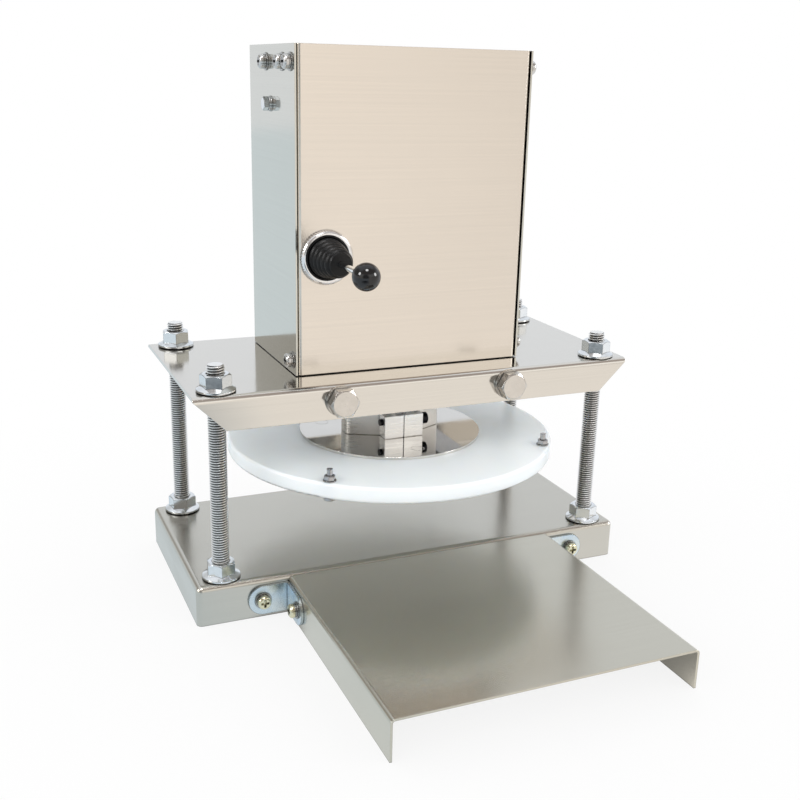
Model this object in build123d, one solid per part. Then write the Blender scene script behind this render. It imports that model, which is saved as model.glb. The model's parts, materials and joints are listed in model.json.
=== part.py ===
from build123d import *
import math
import os

# Electric dough press, in millimetres, Z up.
# Pieces are laid out about the middle of the four columns at table height, and the finished
# press is then moved so that the origin is the middle of its footprint.

# Fits shared by many pieces, per side
THREAD_CLEAR = 0.15
HOLE_CLEAR = 0.5
RUN_CLEAR = 0.05
FREE_CLEAR = 0.3
SHEET_GAP = 0.6
HOLE_SPARE = 1.0
THREAD_POINT = 1.0
HEX_CROWN = 0.95
HEX_CROWN_ANGLE = 30.0

# Base pan
BASE_W = 328.0
BASE_D = 150.0
BASE_H = 28.5
BASE_T = 2.0
BASE_BEND = 4.0

# Columns and their flange nuts
ROD_D = 12.0
ROD_INSET_X = 20.0
ROD_INSET_Y = 13.0
ROD_STUB = 6.0
NUT_HEX = 18.0
NUT_H = 12.0
NUT_FLANGE_D = 26.0
NUT_FLANGE_T = 2.0
NUT_CONE_H = 2.0
NUT_FLANGE_CHAMFER = 0.9
LOWER_NUT_H = 10.0
NUT_TURN = -27.0
NUT_TURN_STEP = 7.0
NUT_TURN_EXTRA = -20.0

# Beam, its cross bars and bolts
BEAM_END_X = 18.25
BEAM_END_Y = 13.5
BEAM_FLANGE = 23.5
BEAM_T = 2.5
BEAM_BEND = 4.0
BEAM_END_SLANT = 21.5
BAR_W = 24.0
BAR_H = 20.0
BAR_X = 63.2
BAR_CORNER = 1.0
BEAM_BOLT_D = 12.0
BEAM_BOLT_HEX = 18.0
BEAM_BOLT_HEAD = 7.5
BEAM_BOLT_GRIP = 18.0
BEAM_BOLT_DROP = 10.4
BEAM_WASHER_D = 21.0
BEAM_WASHER_T = 2.5

# Casing
CASE_W = 170.0
CASE_D = 105.0
CASE_H = 215.0
CASE_T = 1.2
CASE_BEND = 2.5
CASE_LIFT = 0.7
CASE_FRONT_Y = -47.0
COVER_FLANGE = 14.0
LID_FLANGE = 20.0
FOOT_REACH = 6.2
FOOT_END = 6.5
FOOT_SCREW_D = 5.0
FOOT_SCREW_HEAD_D = 9.5
FOOT_SCREW_HEAD_H = 3.6
FOOT_SCREW_ROUND = 1.2
FOOT_SCREW_BITE = 10.0
FOOT_SCREW_SPAN = 36.0

# Small screws, their washers and nuts, all of one thread
SMALL_D = 5.0
SMALL_HEAD_D = 9.5
SMALL_HEAD_H = 3.4
SMALL_HEAD_ROUND = 1.8
CROSS_L = 5.4
CROSS_W = 1.4
CROSS_DEPTH = 1.8
SMALL_WASHER_D = 11.5
SMALL_WASHER_T = 0.9
SMALL_SPRING_D = 9.2
SMALL_SPRING_T = 1.2
SMALL_NUT_HEX = 8.0
SMALL_NUT_H = 3.9
SPRING_SLIT = 0.8
SCREW_TIP = 1.0

# Where the casing's side screws sit
COVER_SCREW_SETBACK = 8.0
CASE_SCREW_DROP = 11.0
COVER_SCREW_RISE = 10.0
LID_SCREW_MID = 43.9
LID_SCREW_SPAN = 37.0

# Press axis and press head
PRESS_Y = -10.5
DAYLIGHT = 62.5
STROKE_SPARE = 0.7
DISC_D = 242.0
DISC_T = 11.0
DISC_ROUND = 2.0
PLATE_D = 135.0
PLATE_T = 2.0
CLAMP_W = 30.0
CLAMP_D = 54.0
CLAMP_H = 17.0
CLAMP_SPLIT = 0.6
CLAMP_BOLT_D = 5.0
CLAMP_BOLT_INSET = 5.5
CLAMP_BOLT_RISE = 11.6
CLAMP_BOLT_STUB = 2.2
CLAMP_HEAD_D = 8.5
CLAMP_HEAD_H = 5.2
CLAMP_HEAD_ROUND = 0.8
CLAMP_SOCKET = 4.0
CLAMP_SOCKET_DEPTH = 2.6
HUB_SPAN = 75.0
HUB_H = 26.0
HUB_HEADROOM = 15.9
HUB_TIP_D = 12.0
HUB_ROUND = 5.5
HUB_FOOT_EDGE = 0.5
DISC_SCREW_RING = 104.0
DISC_SCREW_COUNT = 3
DISC_SCREW_D = 5.0
DISC_SCREW_HEAD_D = 9.2
DISC_SCREW_BITE = 7.0
RIM_SCREW_INSET = 5.5
RIM_SCREW_ANGLES = (-132.5, -37.2)
RIM_SCREW_D = 4.0
RIM_SCREW_HEAD_D = 8.0
RIM_SCREW_FOOT = 2.4
RIM_SCREW_ROUND = 0.8
RIM_SCREW_STUB = 4.5
RIM_WASHER_D = 9.0
RIM_WASHER_T = 0.8
RIM_NUT_HEX = 7.0
RIM_NUT_H = 3.2

# Actuator
PIN_DROP = 38.0
PIN_D = 5.0
PIN_HEX = 8.0
PIN_HEAD = 3.5
PIN_NUT_H = 4.7
PIN_WASHER_D = 10.0
PIN_WASHER_T = 1.0
PIN_SPRING_D = 9.2
PIN_SPRING_T = 1.2
SLEEVE_D = 10.0
TONGUE_W = 20.0
TONGUE_D = 24.0
TONGUE_RISE = 14.0
GEARBOX_WALL = 3.0
GEARBOX_H = 24.0
GEARBOX_LID = 4.0
GEARBOX_AIR = 1.5
TUBE_D = 32.0
TUBE_WALL = 2.5
TUBE_DROP = 12.0
PISTON_D = 20.0
PISTON_WALL = 3.5
PISTON_FOOT = 26.0
BUSH_L = 18.0
DRIVE_NUT_L = 18.0
DRIVE_NUT_DROP = 5.0
SCREW_D = 10.0
SCREW_SPARE = 12.0
BEARING_D = 26.0
BEARING_H = 8.0
BEARING_BOSS = 3.0
GUIDE_FLANGE = 5.0
GUIDE_FLANGE_T = 2.0
GUIDE_WALL = 2.0
MOTOR_GAP = 1.0
MOTOR_L = 58.0
MOTOR_ROUND = 3.0
MOTOR_SHAFT_D = 4.0
GEAR_MODULE = 1.0
SCREW_GEAR_TEETH = 52
PINION_TEETH = 16
GEAR_FACE = 7.0
GEAR_BACKLASH = 0.2
PRESSURE_ANGLE = 20.0
ADDENDUM = 0.9
DEDENDUM = 1.25
FLANK_STEPS = 5

# Joystick switch
SWITCH_INSET = 21.1
SWITCH_DROP = 134.3
SWITCH_RING_D = 36.5
SWITCH_RING_H = 5.0
SWITCH_RING_WALL = 4.6
SWITCH_RING_EDGE = 1.4
BUSHING_D = 18.0
BUSHING_OUT = 3.0
SWITCH_BODY_W = 32.0
SWITCH_BODY_L = 36.0
CONTACT_W = 28.0
CONTACT_H = 20.0
CONTACT_L = 22.0
LEVER_D = 4.4
LEVER_REACH = 73.5
LEVER_BALL_D = 17.6
PIVOT_D = 9.0
PIVOT_DEPTH = 9.0
MOUTH_D = 13.0
BOOT_L = 30.0
BOOT_FLANGE = 2.0
BOOT_RIBS = 5
BOOT_WALL = 1.2
BOOT_GROOVE = 1.6
BOOT_TIP_D = 16.5
RIB_VALLEY = 0.25
RIB_START = 0.6
RIB_END = 0.85

# Power supply, leads and gland
SUPPLY_W = 36.0
SUPPLY_D = 78.0
SUPPLY_H = 110.0
SUPPLY_DROP = 71.0
SUPPLY_BACK_GAP = 1.0
SUPPLY_ROUND = 1.5
SUPPLY_SCREW_SPAN = 60.0
SUPPLY_SCREW_BITE = 6.0
LEAD_D = 5.0
LEAD_BEND = 8.0
MOTOR_LEAD_DROP = 26.0
LEAD_SPACING = 10.0
GLAND_INSET = 30.0
GLAND_RISE = 22.0
GLAND_BORE = 7.4
GLAND_THREAD_D = 15.2
GLAND_THREAD_L = 8.0
GLAND_HEX = 19.0
GLAND_HEX_H = 5.0
GLAND_DOME_D = 18.0
GLAND_DOME_H = 14.0
GLAND_DOME_ROUND = 3.0
LOCKNUT_HEX = 19.0
LOCKNUT_H = 4.0

# Tray and its brackets, fixed a little to the right of the middle
TRAY_X = 2.4
TRAY_W = 205.0
TRAY_L = 181.5
TRAY_H = 27.0
TRAY_T = 1.5
TRAY_BEND = 3.0
BRACKET_H = 21.0
BRACKET_T = 2.0
BRACKET_BASE_LEG = 29.0
BRACKET_TRAY_LEG = 33.0
BRACKET_RISE = 2.6
BRACKET_SCREW_INSET = 10.0

# Places that follow from the sizes above
ROD_SPAN_X = BASE_W - 2 * ROD_INSET_X
ROD_SPAN_Y = BASE_D - 2 * ROD_INSET_Y
DISC_Z = BASE_H + DAYLIGHT
PLATE_Z = DISC_Z + DISC_T
HUB_Z = PLATE_Z + PLATE_T
PRESS_STROKE = DAYLIGHT - RIM_SCREW_FOOT - STROKE_SPARE
TUBE_END_Z = HUB_Z + HUB_H + HUB_HEADROOM
BEAM_W = ROD_SPAN_X + 2 * BEAM_END_X
BEAM_D = ROD_SPAN_Y + 2 * BEAM_END_Y
BEAM_UNDER_Z = TUBE_END_Z + TUBE_DROP
BEAM_TOP_Z = BEAM_UNDER_Z + BEAM_T
CASE_TOP_Z = BEAM_TOP_Z + CASE_H
CASE_BACK_Y = CASE_FRONT_Y + CASE_D
CASE_MID_Y = CASE_FRONT_Y + CASE_D / 2
PIN_Y = CASE_MID_Y
PIN_Z = CASE_TOP_Z - PIN_DROP
GEARBOX_TOP_Z = PIN_Z - TONGUE_RISE - GEARBOX_LID
GEARBOX_Z = GEARBOX_TOP_Z - GEARBOX_H
TUBE_BORE = TUBE_D - 2 * TUBE_WALL
PISTON_BORE = PISTON_D - 2 * PISTON_WALL
GEAR_SPAN = GEAR_MODULE * (SCREW_GEAR_TEETH + PINION_TEETH) / 2
MOTOR_Y = PRESS_Y + GEAR_SPAN
MOTOR_D = 2 * (GEAR_SPAN - TUBE_D / 2 - MOTOR_GAP)
BEARING_Z = GEARBOX_Z + GEARBOX_WALL
GEAR_Z = BEARING_Z + BEARING_H + FREE_CLEAR
DRIVE_NUT_Z = GEARBOX_Z - DRIVE_NUT_DROP - DRIVE_NUT_L
SCREW_END_Z = DRIVE_NUT_Z - PRESS_STROKE - SCREW_SPARE
SWITCH_X = SWITCH_INSET - CASE_W / 2
SWITCH_Z = CASE_TOP_Z - SWITCH_DROP
PIVOT_Y = CASE_FRONT_Y + PIVOT_DEPTH
BALL_Y = CASE_FRONT_Y - LEVER_REACH
SWITCH_BACK_Y = CASE_FRONT_Y + CASE_T + SWITCH_BODY_L
SUPPLY_X = CASE_W / 2 - CASE_T - SUPPLY_W / 2
SUPPLY_MID_Y = CASE_BACK_Y - GLAND_THREAD_L - SUPPLY_BACK_GAP - SUPPLY_D / 2
SUPPLY_Z = CASE_TOP_Z - SUPPLY_DROP - SUPPLY_H
MOTOR_END_Z = GEARBOX_Z - MOTOR_L
LEAD_Z = MOTOR_END_Z - MOTOR_LEAD_DROP
GLAND_X = CASE_W / 2 - GLAND_INSET
GLAND_Z = BEAM_TOP_Z + GLAND_RISE
TRAY_BACK_Y = -BASE_D / 2
TRAY_FRONT_Y = TRAY_BACK_Y - TRAY_L
BEAM_BOLT_Z = BEAM_TOP_Z - BEAM_BOLT_DROP
BRACKET_MID_Z = BRACKET_RISE + BRACKET_H / 2
BRACKET_X = TRAY_W / 2
BRACKET_BASE_SCREW_X = BRACKET_X + BRACKET_BASE_LEG - BRACKET_SCREW_INSET
BRACKET_TRAY_SCREW_Y = TRAY_BACK_Y - BRACKET_TRAY_LEG + BRACKET_SCREW_INSET
FOOT_SCREW_Y = (CASE_MID_Y - FOOT_SCREW_SPAN / 2, CASE_MID_Y + FOOT_SCREW_SPAN / 2)
FOOTPRINT_BACK = max(BEAM_D / 2 + BEAM_WASHER_T + BEAM_BOLT_HEAD, PRESS_Y + DISC_D / 2)
FOOTPRINT_MID = (FOOTPRINT_BACK + TRAY_FRONT_Y) / 2

SIDES = (-1, 1)
RISING = (Align.CENTER, Align.CENTER, Align.MIN)
HANGING = (Align.CENTER, Align.CENTER, Align.MAX)
FACING = {
    "up": Rot(0, 0, 0),
    "down": Rot(180, 0, 0),
    "left": Rot(0, -90, 0),
    "right": Rot(0, 90, 0),
    "front": Rot(90, 0, 0),
    "rear": Rot(-90, 0, 0),
}


def seat(x, y, z, facing="up"):
    """Place for a piece that was made along +Z and now points another way."""
    return Pos(x, y, z) * FACING[facing]


def side_name(side):
    return "left" if side < 0 else "right"


def end_name(side):
    return "front" if side < 0 else "rear"


# Shapes that many pieces share


def group(shapes):
    """Separate solids kept together under one name."""
    return Compound([solid for shape in shapes for solid in shape.solids()])


def rod(diameter, height):
    return Cylinder(diameter / 2, height, align=RISING)


def ring(outer, inner, height):
    return rod(outer, height) - rod(inner, height)


def turned(points):
    """Solid turned about Z from an outline of (radius, height) points."""
    return revolve(Plane.XZ * make_face(Polyline(*points, close=True)), Axis.Z)


def hex_block(across, height):
    """Hexagon standing on Z = 0 with its upper corners turned off."""
    corner = across / math.sqrt(3)
    crown = HEX_CROWN * across / 2
    slope = (corner - crown) * math.tan(math.radians(HEX_CROWN_ANGLE))
    outline = [(0, 0), (corner, 0), (corner, height - slope), (crown, height), (0, height)]
    prism = extrude(RegularPolygon(across / 2, 6, major_radius=False), height)
    return prism & turned(outline)


def hex_nut(across, thread, height):
    return hex_block(across, height) - rod(thread + 2 * THREAD_CLEAR, height)


def hex_bolt(across, head, thread, length):
    """Bolt with its head above Z = 0 and its shank below."""
    shank = Cylinder(thread / 2, length, align=HANGING)
    tip = shank.faces().sort_by(Axis.Z)[0].edges()
    return hex_block(across, head) + chamfer(tip, THREAD_POINT)


def split_washer(outer, thread, thickness):
    """Spring washer: a ring with one slit."""
    slit = Pos(outer / 2, 0, 0) * Box(outer, SPRING_SLIT, 3 * thickness)
    return ring(outer, thread + 2 * THREAD_CLEAR, thickness) - slit


def small_screw(length):
    """Cross-head screw with its head above Z = 0 and its shank below."""
    head = rod(SMALL_HEAD_D, SMALL_HEAD_H)
    head = fillet(head.faces().sort_by(Axis.Z)[-1].edges(), SMALL_HEAD_ROUND)
    for turn in (0, 90):
        slot = Box(CROSS_L, CROSS_W, CROSS_DEPTH, align=HANGING)
        head -= Pos(0, 0, SMALL_HEAD_H) * Rot(0, 0, turn) * slot
    return head + Cylinder(SMALL_D / 2, length, align=HANGING)


def small_washer():
    return ring(SMALL_WASHER_D, SMALL_D + 2 * THREAD_CLEAR, SMALL_WASHER_T)


def small_spring():
    return split_washer(SMALL_SPRING_D, SMALL_D, SMALL_SPRING_T)


def small_nut():
    return hex_nut(SMALL_NUT_HEX, SMALL_D, SMALL_NUT_H)


def folded_channel(length, width, height, thickness, bend):
    """Sheet folded to an upturned U along X, its flat at Z = 0 and its flanges below."""
    outer = Box(length, width, height, align=HANGING)
    outer = fillet(outer.edges().filter_by(Axis.X).group_by(Axis.Z)[-1], bend)
    inner = Box(length, width - 2 * thickness, height - thickness, align=HANGING)
    if bend > thickness:
        inner = fillet(inner.edges().filter_by(Axis.X).group_by(Axis.Z)[-1], bend - thickness)
    return outer - Pos(0, 0, -thickness) * inner


def rounded_pan(width, depth, height, bend):
    """Block standing on Z = 0 with rounded top edges and upright corners."""
    block = Box(width, depth, height, align=RISING)
    edges = block.edges().filter_by(Axis.Z) + block.faces().sort_by(Axis.Z)[-1].edges()
    return fillet(edges, bend)


# Frame: base, columns and beam

RODS = [(x * ROD_SPAN_X / 2, y * ROD_SPAN_Y / 2) for x in SIDES for y in SIDES]
BARS = [x * BAR_X for x in SIDES]
NUT_SEATS = (BASE_H, BEAM_TOP_Z)


def base_pan():
    pan = rounded_pan(BASE_W, BASE_D, BASE_H, BASE_BEND)
    hollow = rounded_pan(BASE_W - 2 * BASE_T, BASE_D - 2 * BASE_T, BASE_H - BASE_T, BASE_BEND - BASE_T)
    pan -= hollow
    for x, y in RODS:
        pan -= Pos(x, y, 0) * rod(ROD_D + 2 * HOLE_CLEAR, BASE_H)
    for side in SIDES:
        hole = Cylinder(SMALL_D / 2 + HOLE_CLEAR, 3 * BASE_T)
        pan -= seat(TRAY_X + side * BRACKET_BASE_SCREW_X, TRAY_BACK_Y, BRACKET_MID_Z, "front") * hole
    return pan


def threaded_rods():
    foot = BASE_H - BASE_T - LOWER_NUT_H - ROD_STUB
    top = BEAM_TOP_Z + NUT_H + ROD_STUB
    column = rod(ROD_D, top - foot)
    column = chamfer(column.edges().filter_by(GeomType.CIRCLE), THREAD_POINT)
    return group([Pos(x, y, foot) * column for x, y in RODS])


def flange_nut():
    """Hexagon nut on a sloped flange with its lower edge turned off, standing on Z = 0."""
    wide = NUT_FLANGE_D / 2
    slim = NUT_HEX / 2
    foot = wide - NUT_FLANGE_CHAMFER
    skirt_h = NUT_FLANGE_T + NUT_CONE_H
    rim = [(foot, 0), (wide, NUT_FLANGE_CHAMFER), (wide, NUT_FLANGE_T)]
    skirt = [(0, 0)] + rim + [(slim, skirt_h), (0, skirt_h)]
    return hex_block(NUT_HEX, NUT_H) + turned(skirt) - rod(ROD_D + 2 * THREAD_CLEAR, NUT_H)


def nut_turn(x, y, z):
    """Angle that a nut was tightened to: two of the left ones stand further round."""
    angle = NUT_TURN - math.copysign(NUT_TURN_STEP, x)
    if x < 0 and (y < 0) == (z == BASE_H):
        angle += NUT_TURN_EXTRA
    return Rot(0, 0, angle)


def flange_nuts():
    """The nuts that show: one on the base and one on the beam for each column."""
    return group([Pos(x, y, z) * nut_turn(x, y, z) * flange_nut() for x, y in RODS for z in NUT_SEATS])


def lower_nuts():
    """Plain nuts under the base and the beam, with flats towards the folded walls."""
    nut = hex_nut(NUT_HEX, ROD_D, LOWER_NUT_H)
    return group([seat(x, y, z, "down") * nut for z in (BASE_H - BASE_T, BEAM_UNDER_Z) for x, y in RODS])


def upper_beam():
    beam = Pos(0, 0, BEAM_TOP_Z) * folded_channel(BEAM_W, BEAM_D, BEAM_FLANGE, BEAM_T, BEAM_BEND)
    under = BEAM_TOP_Z - BEAM_FLANGE
    for side in SIDES:
        tip = side * BEAM_W / 2
        corner = [(tip, BEAM_UNDER_Z), (tip, under), (tip - side * BEAM_END_SLANT, under)]
        beam -= extrude(Plane.XZ * make_face(Polyline(*corner, close=True)), BEAM_D, both=True)
    for x, y in RODS:
        beam -= Pos(x, y, BEAM_UNDER_Z) * rod(ROD_D + 2 * HOLE_CLEAR, BEAM_T)
    guide_hole = TUBE_D + 2 * RUN_CLEAR + 2 * GUIDE_WALL + 2 * RUN_CLEAR
    beam -= Pos(0, PRESS_Y, BEAM_UNDER_Z) * rod(guide_hole, BEAM_T)
    for x in BARS:
        for side in SIDES:
            hole = Cylinder(BEAM_BOLT_D / 2 + HOLE_CLEAR, 3 * BEAM_T)
            beam -= seat(x, side * BEAM_D / 2, BEAM_BOLT_Z, "front") * hole
        for y in FOOT_SCREW_Y:
            beam -= Pos(x, y, BEAM_UNDER_Z) * rod(FOOT_SCREW_D + 2 * HOLE_CLEAR, BEAM_T)
    return beam


def cross_bars():
    """Bars from flange to flange under the beam, tapped for the big bolts and the casing's feet."""
    length = BEAM_D - 2 * BEAM_T
    bar = Box(BAR_W, length, BAR_H, align=HANGING)
    bar = chamfer(bar.edges().filter_by(Axis.X).group_by(Axis.Z)[-1], BEAM_BEND - BEAM_T + BAR_CORNER)
    bolt_hole = Cylinder(BEAM_BOLT_D / 2 + THREAD_CLEAR, 2 * (BEAM_BOLT_GRIP + HOLE_SPARE))
    for side in SIDES:
        bar -= seat(0, side * length / 2, BEAM_BOLT_Z - BEAM_UNDER_Z, "front") * bolt_hole
    for y in FOOT_SCREW_Y:
        bar -= Pos(0, y, 0) * Cylinder(FOOT_SCREW_D / 2 + THREAD_CLEAR, 2 * (FOOT_SCREW_BITE + HOLE_SPARE))
    return group([Pos(x, 0, BEAM_UNDER_Z) * bar for x in BARS])


def beam_bolts():
    bolt = hex_bolt(BEAM_BOLT_HEX, BEAM_BOLT_HEAD, BEAM_BOLT_D, BEAM_WASHER_T + BEAM_T + BEAM_BOLT_GRIP)
    reach = BEAM_D / 2 + BEAM_WASHER_T
    return group([seat(x, s * reach, BEAM_BOLT_Z, end_name(s)) * bolt for x in BARS for s in SIDES])


def beam_spring_washers():
    washer = split_washer(BEAM_WASHER_D, BEAM_BOLT_D, BEAM_WASHER_T)
    return group([seat(x, s * BEAM_D / 2, BEAM_BOLT_Z, end_name(s)) * washer for x in BARS for s in SIDES])


# Casing

LID_SCREW_Y = [CASE_FRONT_Y + LID_SCREW_MID + s * LID_SCREW_SPAN / 2 for s in SIDES]
TOP_SCREW_Z = CASE_TOP_Z - CASE_SCREW_DROP
COVER_SCREW_Y = CASE_FRONT_Y + COVER_SCREW_SETBACK
COVER_SCREWS = [(COVER_SCREW_Y, TOP_SCREW_Z), (COVER_SCREW_Y, BEAM_TOP_Z + COVER_SCREW_RISE)]
LID_SCREWS = [(y, TOP_SCREW_Z) for y in LID_SCREW_Y]
SUPPLY_SCREWS = [(SUPPLY_MID_Y, SUPPLY_Z + SUPPLY_H / 2 + s * SUPPLY_SCREW_SPAN / 2) for s in SIDES]
SMALL_HOLE = SMALL_D + 2 * HOLE_CLEAR
SIDE_SCREWS = [(side, y, z) for side in SIDES for y, z in COVER_SCREWS + LID_SCREWS]


def side_hole(shape, side, y, z, diameter):
    """Cut a round hole through a sheet wall that faces left or right."""
    drill = Cylinder(diameter / 2, 8 * CASE_T)
    return shape - seat(side * CASE_W / 2, y, z, side_name(side)) * drill


def casing_wall(width, depth):
    """Folded sheet stood upright, its flat to the rear, ending just above the beam."""
    sheet = folded_channel(CASE_H - CASE_LIFT, width, depth, CASE_T, CASE_BEND)
    return Pos(0, 0, BEAM_TOP_Z + (CASE_H + CASE_LIFT) / 2) * FACING["rear"] * Rot(0, 0, 90) * sheet


def casing_sheet():
    """Both sides and the rear of the casing, standing on feet turned in on the beam."""
    wrap = Pos(0, CASE_BACK_Y, 0) * casing_wall(CASE_W, CASE_D)
    foot_out = CASE_W / 2 - CASE_T / 2
    foot_w = foot_out - BAR_X + FOOT_REACH
    foot = Box(foot_w, FOOT_SCREW_SPAN + 2 * FOOT_END, CASE_T, align=RISING)
    for side in SIDES:
        wrap += Pos(side * (foot_out - foot_w / 2), CASE_MID_Y, BEAM_TOP_Z) * foot
    for x in BARS:
        for y in FOOT_SCREW_Y:
            wrap -= Pos(x, y, BEAM_TOP_Z) * rod(FOOT_SCREW_D + 2 * HOLE_CLEAR, CASE_T)
    for side, y, z in SIDE_SCREWS:
        wrap = side_hole(wrap, side, y, z, SMALL_HOLE)
    for side in SIDES:
        wrap = side_hole(wrap, side, PIN_Y, PIN_Z, PIN_D + 2 * HOLE_CLEAR)
    for y, z in SUPPLY_SCREWS:
        wrap = side_hole(wrap, 1, y, z, SMALL_HOLE)
    gland_hole = Cylinder(GLAND_THREAD_D / 2 + THREAD_CLEAR, 4 * CASE_T)
    return wrap - seat(GLAND_X, CASE_BACK_Y, GLAND_Z, "rear") * gland_hole


CASING_SEAM = Plane(origin=(0, CASE_BACK_Y - CASE_BEND, 0), z_dir=(0, 1, 0))


def casing_sides():
    """Flat side walls and their feet, as far as the welded seams beside the rear corners."""
    return group([split(casing_sheet(), CASING_SEAM, keep=Keep.BOTTOM)])


def casing_rear():
    """Rear wall with the rolled corners that the sides are welded to."""
    return split(casing_sheet(), CASING_SEAM, keep=Keep.TOP)


def front_cover():
    """Front sheet whose edges are bent back inside the casing's sides."""
    width = CASE_W - 2 * CASE_T - 2 * SHEET_GAP
    cover = Pos(0, CASE_FRONT_Y, 0) * Rot(0, 0, 180) * casing_wall(width, COVER_FLANGE)
    for side in SIDES:
        for y, z in COVER_SCREWS:
            cover = side_hole(cover, side, y, z, SMALL_HOLE)
    bushing_hole = Cylinder(BUSHING_D / 2 + THREAD_CLEAR, 4 * CASE_T)
    return cover - seat(SWITCH_X, CASE_FRONT_Y, SWITCH_Z, "front") * bushing_hole


def top_lid():
    """Lid let in flush between the walls, with two flanges screwed to the sides."""
    width = CASE_W - 2 * CASE_T - 2 * SHEET_GAP
    back = CASE_BACK_Y - CASE_T - SHEET_GAP
    front = CASE_FRONT_Y + CASE_T + SHEET_GAP
    lid = Rot(0, 0, 90) * folded_channel(back - front, width, LID_FLANGE, CASE_T, CASE_BEND)
    lid = Pos(0, (back + front) / 2, CASE_TOP_Z) * lid
    for side in SIDES:
        edge = side * (width / 2 - CASE_BEND - SHEET_GAP)
        for y, length in ((CASE_FRONT_Y, COVER_FLANGE + SHEET_GAP), (CASE_BACK_Y, CASE_T + CASE_BEND)):
            notch = Box(CASE_W, 2 * length, 2 * LID_FLANGE)
            lid -= Pos(edge + side * CASE_W / 2, y, CASE_TOP_Z) * notch
        for y, z in LID_SCREWS:
            lid = side_hole(lid, side, y, z, SMALL_HOLE)
    return lid


def case_screws():
    grip = SMALL_WASHER_T + SMALL_SPRING_T + 2 * CASE_T + SHEET_GAP + SMALL_NUT_H + SCREW_TIP
    reach = CASE_W / 2 + SMALL_WASHER_T + SMALL_SPRING_T
    return group([seat(s * reach, y, z, side_name(s)) * small_screw(grip) for s, y, z in SIDE_SCREWS])


def case_flat_washers():
    return group([seat(s * CASE_W / 2, y, z, side_name(s)) * small_washer() for s, y, z in SIDE_SCREWS])


def case_spring_washers():
    reach = CASE_W / 2 + SMALL_WASHER_T
    return group([seat(s * reach, y, z, side_name(s)) * small_spring() for s, y, z in SIDE_SCREWS])


def case_nuts():
    reach = CASE_W / 2 - 2 * CASE_T - SHEET_GAP
    return group([seat(s * reach, y, z, side_name(-s)) * small_nut() for s, y, z in SIDE_SCREWS])


def foot_screws():
    """Screws from the casing's feet through the beam into the cross bars."""
    head = rod(FOOT_SCREW_HEAD_D, FOOT_SCREW_HEAD_H)
    head = fillet(head.faces().sort_by(Axis.Z)[-1].edges(), FOOT_SCREW_ROUND)
    screw = head + Cylinder(FOOT_SCREW_D / 2, CASE_T + BEAM_T + FOOT_SCREW_BITE, align=HANGING)
    return group([Pos(x, y, BEAM_TOP_Z + CASE_T) * screw for x in BARS for y in FOOT_SCREW_Y])


# Actuator that hangs from a bolt across the casing


def gear(teeth, bore):
    """Spur gear with involute teeth, the first one centred on +X."""
    pitch = GEAR_MODULE * teeth / 2
    base = pitch * math.cos(math.radians(PRESSURE_ANGLE))
    tip = pitch + ADDENDUM * GEAR_MODULE
    root = pitch - DEDENDUM * GEAR_MODULE
    start = max(base, root)
    flat = math.radians(PRESSURE_ANGLE)
    half_tooth = math.pi / (2 * teeth) - GEAR_BACKLASH / (4 * pitch)

    def half_angle(radius):
        roll = math.acos(min(1.0, base / radius))
        return half_tooth + math.tan(flat) - flat - math.tan(roll) + roll

    def polar(radius, angle):
        return (radius * math.cos(angle), radius * math.sin(angle))

    radii = [start + (tip - start) * i / FLANK_STEPS for i in range(FLANK_STEPS + 1)]
    edges = []
    for tooth in range(teeth):
        mid = 2 * math.pi * tooth / teeth
        space = mid + math.pi / teeth
        after = mid + 2 * math.pi / teeth
        rising = [polar(r, mid - half_angle(r)) for r in radii]
        falling = [polar(r, mid + half_angle(r)) for r in reversed(radii)]
        foot = half_angle(start)
        low_out = polar(root, mid + foot)
        low_in = polar(root, after - foot)
        edges += [
            Spline(*rising),
            ThreePointArc(rising[-1], polar(tip, mid), falling[0]),
            Spline(*falling),
            ThreePointArc(low_out, polar(root, space), low_in),
        ]
        if start > root:
            edges += [Line(falling[-1], low_out), Line(low_in, polar(start, after - foot))]
    return extrude(make_face(edges), GEAR_FACE) - rod(bore, GEAR_FACE)


def gearbox_outline(wall):
    """Outline round both gears, less a wall."""
    big = GEAR_MODULE * SCREW_GEAR_TEETH / 2 + ADDENDUM * GEAR_MODULE + GEARBOX_AIR + GEARBOX_WALL - wall
    small = MOTOR_D / 2 + GEARBOX_AIR - wall
    circles = [Pos(0, PRESS_Y) * Circle(big), Pos(0, MOTOR_Y) * Circle(small)]
    return make_hull(circles[0].edges() + circles[1].edges())


def gearbox_housing():
    housing = Pos(0, 0, GEARBOX_Z) * extrude(gearbox_outline(0), GEARBOX_H)
    hollow = extrude(gearbox_outline(GEARBOX_WALL), GEARBOX_H - GEARBOX_WALL)
    housing -= Pos(0, 0, BEARING_Z) * hollow
    housing += Pos(0, PRESS_Y, BEARING_Z) * ring(
        BEARING_D + 2 * (BEARING_BOSS + RUN_CLEAR), BEARING_D + 2 * RUN_CLEAR, BEARING_H)
    housing -= Pos(0, PRESS_Y, GEARBOX_Z) * rod(SCREW_D + 2 * FREE_CLEAR, GEARBOX_WALL)
    return housing - Pos(0, MOTOR_Y, GEARBOX_Z) * rod(MOTOR_SHAFT_D + 2 * FREE_CLEAR, GEARBOX_WALL)


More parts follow.
